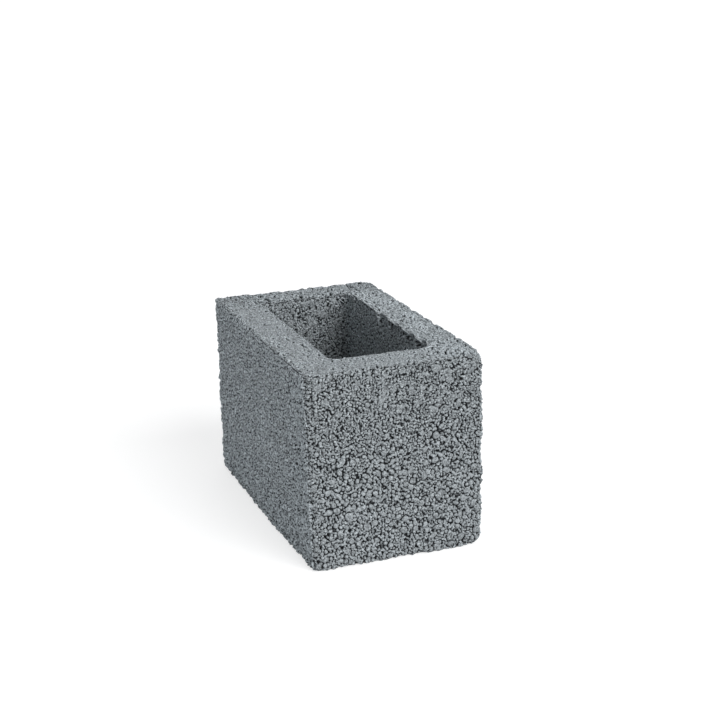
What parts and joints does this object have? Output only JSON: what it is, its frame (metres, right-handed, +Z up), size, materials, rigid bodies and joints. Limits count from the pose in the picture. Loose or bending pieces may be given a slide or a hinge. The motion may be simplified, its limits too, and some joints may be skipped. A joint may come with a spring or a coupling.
{
  "type": "ventilation block",
  "caption": "Hollow rectangular masonry block of expanded-clay concrete with an upright rectangular air duct through it, stacked in courses to form a ventilation shaft.",
  "frame": {"origin": "centre of the bottom bed face, on the duct's axis", "axes": "+Z up along the duct, +Y along the block's length, +X across its width"},
  "size_m": [0.22, 0.38, 0.24],
  "materials": {
    "concrete": "rough open-textured expanded-clay concrete, cool grey"
  },
  "bodies": {
    "root": {"vent_block": "concrete"}
  },
  "joints": []
}
